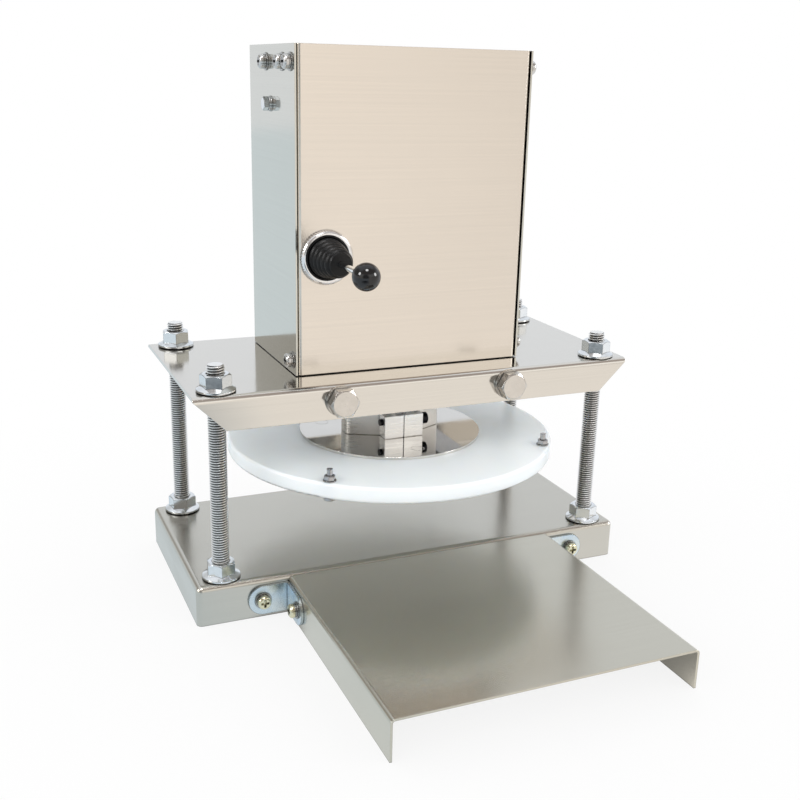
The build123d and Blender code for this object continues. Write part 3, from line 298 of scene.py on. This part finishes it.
def polished_metal(name, colour, roughness):
    """Bright polished metal with faint clouding and hairlines."""
    material, tree, shader = new_material(name)
    clouds = noise(tree, (35, 35, 35), detail=3.0)
    hairs = noise(tree, (40, 40, 2400), detail=2.0)
    toned = blend_colour(tree, remap(tree, clouds, 0.3, 0.7, 0, 1), shade(colour, 0.97), shade(colour, 1.03))
    tree.links.new(toned, shader.inputs["Base Color"])
    spread = remap(tree, combine(tree, "ADD", clouds, hairs), 0.7, 1.3, roughness * 0.6, roughness * 1.5)
    tree.links.new(spread, shader.inputs["Roughness"])
    shader.inputs["Metallic"].default_value = 1.0
    round_edges(tree, shader, 0.0005)
    return material


def plated_metal(name, colour, tint, roughness, grain_scale=420.0):
    """Zinc plate or plain steel: fine spangle, slight tint in patches, a little dulling."""
    material, tree, shader = new_material(name)
    spangle = noise(tree, (grain_scale, grain_scale, grain_scale), detail=4.0, roughness=0.65)
    patches = noise(tree, (90, 90, 90), detail=2.0)
    toned = blend_colour(tree, remap(tree, patches, 0.35, 0.65, 0, 1), shade(colour, 1.0), shade(tint, 1.0))
    speckled = blend_colour(tree, remap(tree, spangle, 0.35, 0.75, 0, 0.3), toned, shade(colour, 0.8))
    tree.links.new(speckled, shader.inputs["Base Color"])
    vary_roughness(tree, shader, spangle, roughness * 0.8, roughness * 1.3)
    shader.inputs["Metallic"].default_value = 1.0
    # painted shade in the recesses and joints round each fastener
    paint_crevice_shade(tree, shader, 0.0014, shade(colour, 0.12))
    # painted shade: a dark outline along the fastener's edges
    paint_edge_shade(tree, shader, 0.0007, shade(colour, 0.3))
    round_edges(tree, shader, 0.0004)
    raise_bump(tree, shader, spangle, 0.00003, 0.2)
    return material


def threaded_metal(name, colour, roughness):
    """Rolled screw thread: bright crests with a fine grain, and painted shade that darkens the roots."""
    material, tree, shader = new_material(name)
    height = add_node(tree, "ShaderNodeAttribute", attribute_name=THREAD_HEIGHT).outputs["Fac"]
    grain = noise(tree, (420, 420, 420), detail=4.0, roughness=0.65)
    crest = blend_colour(tree, remap(tree, grain, 0.35, 0.75, 0, 0.5), shade(colour, 1.0), shade(colour, 0.8))
    # painted shade: the thread's roots go down to a tenth of the colour, the crests keep it
    toned = blend_colour(tree, remap(tree, height, 0.05, 0.7, 0, 1), shade(colour, 0.1), crest)
    tree.links.new(toned, shader.inputs["Base Color"])
    vary_roughness(tree, shader, grain, roughness * 0.8, roughness * 1.3)
    shader.inputs["Metallic"].default_value = 1.0
    raise_bump(tree, shader, grain, 0.00003, 0.2)
    return material


def moulded_plastic(name, colour, roughness, texture_scale, texture_depth, gloss=0.5):
    """Moulded or turned plastic with a fine skin and slight patchiness."""
    material, tree, shader = new_material(name)
    skin = noise(tree, (texture_scale, texture_scale, texture_scale), detail=3.0)
    patches = noise(tree, (30, 30, 30), detail=2.0)
    toned = blend_colour(tree, patches, shade(colour, 0.94), shade(colour, 1.06))
    tree.links.new(toned, shader.inputs["Base Color"])
    vary_roughness(tree, shader, skin, roughness * 0.85, roughness * 1.2)
    shader.inputs["Specular IOR Level"].default_value = gloss
    raise_bump(tree, shader, skin, texture_depth, 0.5)
    return material


def disc_plastic(name, colour):
    """White polyethylene: smooth and slightly milky, with very faint patches in its gloss."""
    material, tree, shader = new_material(name)
    patches = noise(tree, (18, 18, 18), detail=3.0)
    sheen = noise(tree, (60, 60, 60), detail=2.0)
    cloudy = remap(tree, patches, 0.3, 0.7, 0, 1)
    toned = blend_colour(tree, cloudy, shade(colour, 0.985), shade(colour, 1.01))
    tree.links.new(toned, shader.inputs["Base Color"])
    vary_roughness(tree, shader, sheen, 0.2, 0.27)
    shader.inputs["Subsurface Weight"].default_value = 0.55
    shader.inputs["Subsurface Radius"].default_value = (0.009, 0.008, 0.007)
    shader.inputs["Subsurface Scale"].default_value = 1.0
    shader.inputs["IOR"].default_value = 1.51
    return material


# The stainless parts get tones of their own, set part by part as painted shade and reflection: the base and
# tray sheets darker, the front panel warmer, the backing plate a darker copy of the polished steel, the
# clamps a lighter copy of the satin hub.
sheet_beam = brushed_sheet("sheet_beam", (0.745, 0.72, 0.675), "X", 0.12)
sheet_base = brushed_sheet("sheet_base", (0.59, 0.572, 0.52), "X", 0.225)
sheet_tray = brushed_sheet("sheet_tray", (0.605, 0.583, 0.51), "X", 0.225)
sheet_front = brushed_sheet("sheet_front_panel", (0.805, 0.748, 0.68), "X", 0.22)
sheet_sides = brushed_sheet("sheet_side_walls", (0.70, 0.69, 0.635), "Y", 0.1)
polished = polished_metal("polished_stainless", (0.96, 0.965, 0.965), 0.05)
polished_plate = polished_metal("polished_plate", (0.71, 0.69, 0.66), 0.06)
satin_hub = polished_metal("satin_stainless", (0.86, 0.84, 0.81), 0.34)
satin_clamp = polished_metal("satin_clamp", (0.98, 0.98, 0.97), 0.3)
chrome = polished_metal("chrome_plate", (0.84, 0.84, 0.85), 0.06)
stainless_thread = plated_metal("stainless_fastener", (0.66, 0.655, 0.645), (0.62, 0.615, 0.60), 0.2)
rolled_thread = threaded_metal("rolled_thread", (0.97, 0.965, 0.955), 0.3)
bolt_steel = plated_metal("stainless_bolt", (0.72, 0.69, 0.65), (0.67, 0.64, 0.60), 0.22, 300.0)
dark_zinc = plated_metal("dark_zinc", (0.52, 0.52, 0.53), (0.46, 0.46, 0.47), 0.2)
bright_zinc = plated_metal("bright_zinc", (0.85, 0.87, 0.885), (0.80, 0.835, 0.87), 0.14)
blue_zinc = plated_metal("blue_zinc", (0.56, 0.68, 0.78), (0.70, 0.75, 0.74), 0.25, 260.0)
yellow_zinc = plated_metal("yellow_zinc", (0.76, 0.70, 0.48), (0.72, 0.72, 0.56), 0.18)
dull_zinc = plated_metal("dull_zinc", (0.50, 0.50, 0.47), (0.44, 0.45, 0.44), 0.25)
plain_steel = plated_metal("plain_steel", (0.46, 0.46, 0.47), (0.42, 0.42, 0.43), 0.36)
black_steel = plated_metal("black_oxide", (0.03, 0.03, 0.034), (0.022, 0.022, 0.026), 0.35)
aluminium = plated_metal("cast_aluminium", (0.72, 0.73, 0.75), (0.68, 0.69, 0.71), 0.4)
brass = plated_metal("turned_brass", (0.78, 0.62, 0.32), (0.72, 0.55, 0.27), 0.25)
motor_can = moulded_plastic("motor_can", (0.09, 0.09, 0.1), 0.35, 900.0, 0.00003)
disc_white = disc_plastic("white_polyethylene", (0.865, 0.915, 0.95))
black_plastic = moulded_plastic("black_plastic", (0.03, 0.03, 0.032), 0.42, 1400.0, 0.00004)
black_gloss = moulded_plastic("black_gloss", (0.004, 0.004, 0.005), 0.05, 60.0, 0.00001, 0.6)
black_rubber = moulded_plastic("black_rubber", (0.0045, 0.0045, 0.005), 0.36, 1100.0, 0.00006, 0.28)

FINISHES = {
    "base_pan": sheet_base,
    "tray": sheet_tray,
    "casing_sides": sheet_sides,
    "front_cover": sheet_front,
    "beam_bolts": bolt_steel,
    "beam_spring_washers": bolt_steel,
    "bracket_washers": dull_zinc,
    "backing_plate": polished_plate,
    "disc_screws": polished_plate,
    "hub_wings": satin_hub,
    "rod_clamps": satin_clamp,
    "rim_screws": dark_zinc,
    "rim_nuts": dark_zinc,
}
SLOT_FINISHES = {
    "stainless_sheet": sheet_beam,
    "polished_steel": polished,
    "chrome": chrome,
    "threaded_steel": stainless_thread,
    "bright_zinc": bright_zinc,
    "blue_zinc": blue_zinc,
    "yellow_zinc": yellow_zinc,
    "plain_steel": plain_steel,
    "black_steel": black_steel,
    "aluminium": aluminium,
    "brass": brass,
    "motor_can": motor_can,
    "white_pe": disc_white,
    "black_plastic": black_plastic,
    "black_gloss": black_gloss,
    "black_rubber": black_rubber,
}

for subpart in frame["record"]["subparts"]:
    finish = FINISHES.get(subpart["node"], SLOT_FINISHES[subpart["material_slot"]])
    for slot in NODES[subpart["node"]].material_slots:
        slot.material = finish


# Mesh helpers


def new_piece(name, build, finish):
    """Object made from a bmesh, smooth except at its sharp edges."""
    mesh = bpy.data.meshes.new(name)
    build.normal_update()
    build.to_mesh(mesh)
    build.free()
    mesh.polygons.foreach_set("use_smooth", [True] * len(mesh.polygons))
    mesh.set_sharp_from_angle(angle=SMOOTH_ANGLE)
    mesh.materials.append(finish)
    piece = bpy.data.objects.new(name, mesh)
    bpy.context.scene.collection.objects.link(piece)
    return piece


def add_thread(build, place, diameter, pitch, length, sides, point):
    """Threaded rod along +Z from its place, with tapered ends; each point keeps its height in the thread."""
    height = build.verts.layers.float[THREAD_HEIGHT]
    crest = diameter / 2
    root = crest - pitch * THREAD_DEPTH_RATIO
    turns = math.ceil(length / pitch) + 2
    columns = []
    for side in range(sides + 1):
        turn = side / sides
        angle = 2 * math.pi * turn
        column = []
        for count in range(-1, turns):
            for share, rise in THREAD_ROWS:
                z = min(max((count + share + turn) * pitch, 0.0), length)
                taper = crest - point + min(z, length - z)
                radius = min(root + (crest - root) * rise, taper)
                spot = Vector((radius * math.cos(angle), radius * math.sin(angle), z))
                vertex = build.verts.new(place @ spot)
                vertex[height] = rise if 0 < z < length else 1
                column.append(vertex)
        columns.append(column)
    for left, right in zip(columns, columns[1:]):
        for row in range(len(left) - 1):
            build.faces.new((left[row], right[row], right[row + 1], left[row + 1]))
    for row, z in ((0, 0.0), (-1, length)):
        rim = [column[row] for column in columns[:-1]]
        hub = build.verts.new(place @ Vector((0, 0, z)))
        hub[height] = 1
        for first, second in zip(rim, rim[1:] + rim[:1]):
            corners = (hub, second, first) if row == 0 else (hub, first, second)
            build.faces.new(corners)


def add_lathe(build, place, profile, sides, wave=None):
    """Surface turned about Z through (radius, height) points; wave changes the radius by angle and point."""
    rings = []
    for index, (radius, z) in enumerate(profile):
        ring = []
        for side in range(sides):
            angle = 2 * math.pi * side / sides
            reach = radius + (wave(index, side) if wave else 0.0)
            spot = Vector((reach * math.cos(angle), reach * math.sin(angle), z))
            ring.append(build.verts.new(place @ spot))
        rings.append(ring)
    for low, high in zip(rings, rings[1:]):
        for side in range(sides):
            after = (side + 1) % sides
            build.faces.new((low[side], low[after], high[after], high[side]))


def clean(build):
    bmesh.ops.remove_doubles(build, verts=build.verts, dist=1e-7)
    bmesh.ops.dissolve_degenerate(build, edges=build.edges, dist=1e-8)


# Threaded columns


def threaded_columns():
    low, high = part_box("threaded_rods")
    build = bmesh.new()
    build.verts.layers.float.new(THREAD_HEIGHT)
    inset = COLUMN_D / 2
    for x in (low.x + inset, high.x - inset):
        for y in (low.y + inset, high.y - inset):
            place = Matrix.Translation((x, y, low.z))
            add_thread(build, place, COLUMN_D, COLUMN_PITCH, high.z - low.z, COLUMN_SIDES, COLUMN_POINT)
    clean(build)
    piece = new_piece("column_threads", build, rolled_thread)
    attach(piece, "frame")
    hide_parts("threaded_rods")


threaded_columns()


# Joystick: bellows and ring


def joystick_place(node):
    """Place on the panel at the middle of a joystick piece, pointing out of the panel."""
    low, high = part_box(node)
    middle = (low + high) / 2
    return Matrix.Translation((middle.x, high.y, middle.z)) @ FORWARD, high.y - low.y, (high.x - low.x) / 2


def bellows():
    """Rubber boot: a flange on the panel, ribs that get smaller, and a rounded tip with the shaft's hole."""
    place, length, radius = joystick_place("lever_boot")
    tip = BELLOWS_TIP
    flange = BELLOWS_FLANGE
    neck = radius * 0.93
    profile = [(radius * 0.72, BELLOWS_LIFT), (radius, BELLOWS_LIFT)]
    profile += [(radius, flange * 0.7), (radius * 0.97, flange)]
    rib_length = (length - flange) * 0.92 / BELLOWS_RIBS
    for step in range(BELLOWS_RIBS * BELLOWS_STEPS + 1):
        ribs_passed = step / BELLOWS_STEPS
        valley = neck + (tip - neck) * ribs_passed / BELLOWS_RIBS - BELLOWS_GROOVE
        swell = abs(math.sin(math.pi * ribs_passed)) ** 0.7
        profile.append((valley + 2 * BELLOWS_GROOVE * swell, flange + rib_length * ribs_passed))
    profile += [(tip * 0.98, length * 0.955), (tip * 0.9, length * 0.99), (tip * 0.6, length)]
    profile += [(BELLOWS_HOLE, length), (BELLOWS_HOLE, length * 0.9)]
    build = bmesh.new()
    add_lathe(build, place, profile, BELLOWS_SIDES)
    piece = new_piece("bellows", build, black_rubber)
    start = place @ Vector((0, 0, flange))
    end = place @ Vector((0, 0, length * 0.97))
    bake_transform(piece, "frame", "lever", start=tuple(start), end=tuple(end))
    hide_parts("lever_boot")


def knurled_ring():
    """Chrome ring nut with a rounded front and a fine knurl round its side."""
    place, height, radius = joystick_place("switch_ring")
    root = radius - KNURL_DEPTH
    profile = [(radius - RING_WALL * inward, height * rise) for inward, rise in RING_PROFILE]
    knurled = (len(profile), len(profile) + 1)
    profile += [(root, height * KNURL_TOP), (root, height * KNURL_FOOT), (root - KNURL_DEPTH, 0.0)]

    def wave(index, side):
        return KNURL_DEPTH if index in knurled and side % KNURL_STEPS in (1, 2) else 0.0

    build = bmesh.new()
    add_lathe(build, place, profile, KNURL_TEETH * KNURL_STEPS, wave)
    piece = new_piece("ring_nut", build, chrome)
    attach(piece, "frame")
    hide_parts("switch_ring")


bellows()
knurled_ring()


# Room: floor, world, lamps and camera


def seen_in_mirrors(tree):
    """One for rays that left a shiny or clear surface."""
    path = add_node(tree, "ShaderNodeLightPath")
    return combine(tree, "MAXIMUM", path.outputs["Is Glossy Ray"], path.outputs["Is Transmission Ray"])


def seen_by_camera(tree):
    return add_node(tree, "ShaderNodeLightPath").outputs["Is Camera Ray"]


def distance_from(tree, place):
    """Distance on the floor from a place, in metres."""
    point = add_node(tree, "ShaderNodeTexCoord")
    span = add_node(tree, "ShaderNodeVectorMath", operation="DISTANCE")
    tree.links.new(point.outputs["Object"], span.inputs[0])
    span.inputs[1].default_value = place
    return span.outputs["Value"]


def along(tree, direction, output):
    """Part of a coordinate that points one way."""
    point = add_node(tree, "ShaderNodeTexCoord")
    dot = add_node(tree, "ShaderNodeVectorMath", operation="DOT_PRODUCT")
    tree.links.new(point.outputs[output], dot.inputs[0])
    dot.inputs[1].default_value = Vector(direction).normalized()
    return dot.outputs["Value"]


def floor_in_mirrors(tree):
    """Colour that mirrors see on the floor: cool at the left, warm in front, darker far off to the right,
    with a painted shadow in front at the left and a painted shadow under the press.
    """
    ahead = along(tree, (0, -1, 0), "Object")
    right = remap(tree, along(tree, (1, 0, 0), "Object"), -0.18, 0.02, 0, 1)
    colour = blend_colour(tree, remap(tree, ahead, 0.1, 0.3, 0, 1), FLOOR_PLAIN, FLOOR_WARM)
    colour = blend_colour(tree, right, FLOOR_COOL, colour)
    near, far = FLOOR_SHADOW_REACH
    # painted shadow in front at the left
    dim = remap(tree, distance_from(tree, FLOOR_SHADOW_PLACE), near, far, FLOOR_SHADOW_SHARE, 0)
    far_right = remap(tree, along(tree, FAR_RIGHT_SIDE, "Object"), -0.3, 0.1, 0, 0.12)
    far_dim = combine(tree, "MULTIPLY", remap(tree, ahead, 0.5, 0.8, 0, 1), far_right)
    colour = blend_colour(tree, combine(tree, "MAXIMUM", dim, far_dim), colour, BLACK)
    # painted shadow under the press, where the floor is most covered
    cover = add_node(tree, "ShaderNodeAmbientOcclusion", samples=8)
    cover.inputs["Distance"].default_value = PRESS_SHADE_REACH
    return blend_colour(tree, remap(tree, cover.outputs["AO"], 0.05, 0.4, 0, 1), FLOOR_SHADE_UNDER_PRESS, colour)


def make_floor():
    """White floor that keeps the shadow near the press."""
    build = bmesh.new()
    bmesh.ops.create_grid(build, x_segments=1, y_segments=1, size=FLOOR_HALF)
    mesh = bpy.data.meshes.new("floor")
    build.to_mesh(mesh)
    build.free()
    floor = bpy.data.objects.new("floor", mesh)
    bpy.context.scene.collection.objects.link(floor)
    material, tree, shader = new_material("pale_floor")
    tone = blend_colour(tree, seen_by_camera(tree), FLOOR_BOUNCE, FLOOR_COLOUR)
    tree.links.new(tone, shader.inputs["Base Color"])
    shader.inputs["Roughness"].default_value = 0.8
    shader.inputs["Specular IOR Level"].default_value = 0.1
    glow = add_node(tree, "ShaderNodeEmission")
    shown = blend_colour(tree, seen_by_camera(tree), floor_in_mirrors(tree), WHITE)
    tree.links.new(shown, glow.inputs["Color"])
    glow.inputs["Strength"].default_value = 1.0
    fade = remap(tree, distance_from(tree, (0, 0, 0)), GLOW_NEAR, GLOW_FAR, FLOOR_GLOW, 1)
    to_camera = combine(tree, "MULTIPLY", fade, seen_by_camera(tree))
    mix = add_node(tree, "ShaderNodeMixShader")
    tree.links.new(combine(tree, "MAXIMUM", to_camera, seen_in_mirrors(tree)), mix.inputs[0])
    tree.links.new(shader.outputs["BSDF"], mix.inputs[1])
    tree.links.new(glow.outputs["Emission"], mix.inputs[2])
    tree.links.new(mix.outputs["Shader"], tree.nodes["Material Output"].inputs["Surface"])
    mesh.materials.append(material)


def lamp_direction(turn, rise):
    """Way to a lamp at a turn from the front towards the right and a rise above the floor, in degrees."""
    turn = math.radians(turn)
    rise = math.radians(rise)
    return Vector((math.sin(turn) * math.cos(rise), -math.cos(turn) * math.cos(rise), math.sin(rise)))


def walls_in_mirrors(tree, rise):
    """Colour that mirrors see: bright and dim bands in front, a dark camera side, a pale rear and ceiling."""
    right = remap(tree, along(tree, (1, 0, 0), "Generated"), 0.3, 0.56, 0, 0.18)
    front = blend_colour(tree, right, WALL_FRONT_LOW, BLACK)
    front = blend_colour(tree, remap(tree, rise, 0.12, 0.26, 0, 1), front, WALL_FRONT_MIDDLE)
    front = blend_colour(tree, remap(tree, rise, 0.40, 0.56, 0, 1), front, WALL_FRONT_HIGH)
    camera_side = remap(tree, along(tree, CAMERA_SIDE, "Generated"), 0.86, 0.96, 0, 1)
    front = blend_colour(tree, camera_side, front, WALL_CAMERA)
    depth = along(tree, (0, 1, 0), "Generated")
    room = blend_colour(tree, remap(tree, depth, -0.25, 0.45, 0, 1), front, WALL_REAR)
    left_rear = remap(tree, along(tree, LEFT_REAR_SIDE, "Generated"), 0.6, 0.8, 0, 1)
    raised = remap(tree, rise, 0.08, 0.2, 0, 1)
    room = blend_colour(tree, combine(tree, "MULTIPLY", left_rear, raised), room, WALL_LEFT_REAR)
    behind = remap(tree, depth, -0.3, -0.05, 0, 1)
    overhead = combine(tree, "MULTIPLY", remap(tree, rise, 0.68, 0.85, 0, 1), behind)
    return blend_colour(tree, overhead, room, WALL_TOP)


def add_glints(tree, room):
    """Bright patches where the lamps stand, for rays that left only one shiny surface."""
    bounces = add_node(tree, "ShaderNodeLightPath").outputs["Ray Depth"]
    direct = remap(tree, bounces, 2, 3, 1, 0)
    for turn, lift in LAMPS.values():
        patch = remap(tree, along(tree, lamp_direction(turn, lift), "Generated"), *GLINT_EDGE, 0, 1)
        room = blend_colour(tree, combine(tree, "MULTIPLY", patch, direct), room, GLINT_COLOUR)
    return room


def ambient_strength(tree, rise):
    """Plain light, strongest in a band some way above the horizon."""
    growing = remap(tree, rise, 0, 0.3, AMBIENT_LOW, AMBIENT_BAND)
    fading = remap(tree, rise, 0.48, 0.92, AMBIENT_BAND, AMBIENT_HIGH)
    return combine(tree, "MINIMUM", growing, fading)


def make_world():
    """White to the camera, a room with lamps to mirrors, and plain light to everything else."""
    world = bpy.data.worlds.new("room")
    bpy.context.scene.world = world
    world.use_nodes = True
    tree = world.node_tree
    back = tree.nodes["Background"]
    rise = along(tree, (0, 0, 1), "Generated")
    room = add_glints(tree, walls_in_mirrors(tree, rise))
    tree.links.new(blend_colour(tree, seen_in_mirrors(tree), WHITE, room), back.inputs["Color"])
    shown = combine(tree, "MAXIMUM", seen_in_mirrors(tree), seen_by_camera(tree))
    strength = add_node(tree, "ShaderNodeMix", data_type="FLOAT")
    tree.links.new(shown, strength.inputs["Factor"])
    tree.links.new(ambient_strength(tree, rise), strength.inputs["A"])
    strength.inputs["B"].default_value = 1.0
    tree.links.new(strength.outputs["Result"], back.inputs["Strength"])


def make_lamp(name, toward):
    data = bpy.data.lights.new(name, "AREA")
    data.shape = "SQUARE"
    data.size = LAMP_SIZE
    data.energy = LAMP_POWER
    lamp = bpy.data.objects.new(name, data)
    lamp.location = LAMP_TARGET + LAMP_FAR * toward
    lamp.rotation_euler = (-toward).to_track_quat("-Z", "Y").to_euler()
    bpy.context.scene.collection.objects.link(lamp)


def make_camera():
    yaw = math.radians(CAMERA_YAW)
    pitch = math.radians(CAMERA_PITCH)
    roll = math.radians(CAMERA_ROLL)
    ahead = Vector((math.sin(yaw) * math.cos(pitch), math.cos(yaw) * math.cos(pitch), -math.sin(pitch)))
    level = Vector((math.cos(yaw), -math.sin(yaw), 0))
    rise = level.cross(ahead)
    right = math.cos(roll) * level + math.sin(roll) * rise
    up = math.cos(roll) * rise - math.sin(roll) * level
    data = bpy.data.cameras.new("camera")
    data.lens = CAMERA_LENS
    data.sensor_width = CAMERA_SENSOR
    data.clip_start = 0.01
    data.clip_end = 50
    camera = bpy.data.objects.new("camera", data)
    axes = Matrix((right, up, -ahead)).transposed()
    camera.matrix_world = Matrix.Translation(CAMERA_PLACE) @ axes.to_4x4()
    bpy.context.scene.collection.objects.link(camera)
    bpy.context.scene.camera = camera


make_floor()
make_world()
for lamp_name, (lamp_turn, lamp_rise) in LAMPS.items():
    make_lamp(lamp_name, lamp_direction(lamp_turn, lamp_rise))
make_camera()
bpy.context.scene.view_settings.view_transform = "Standard"
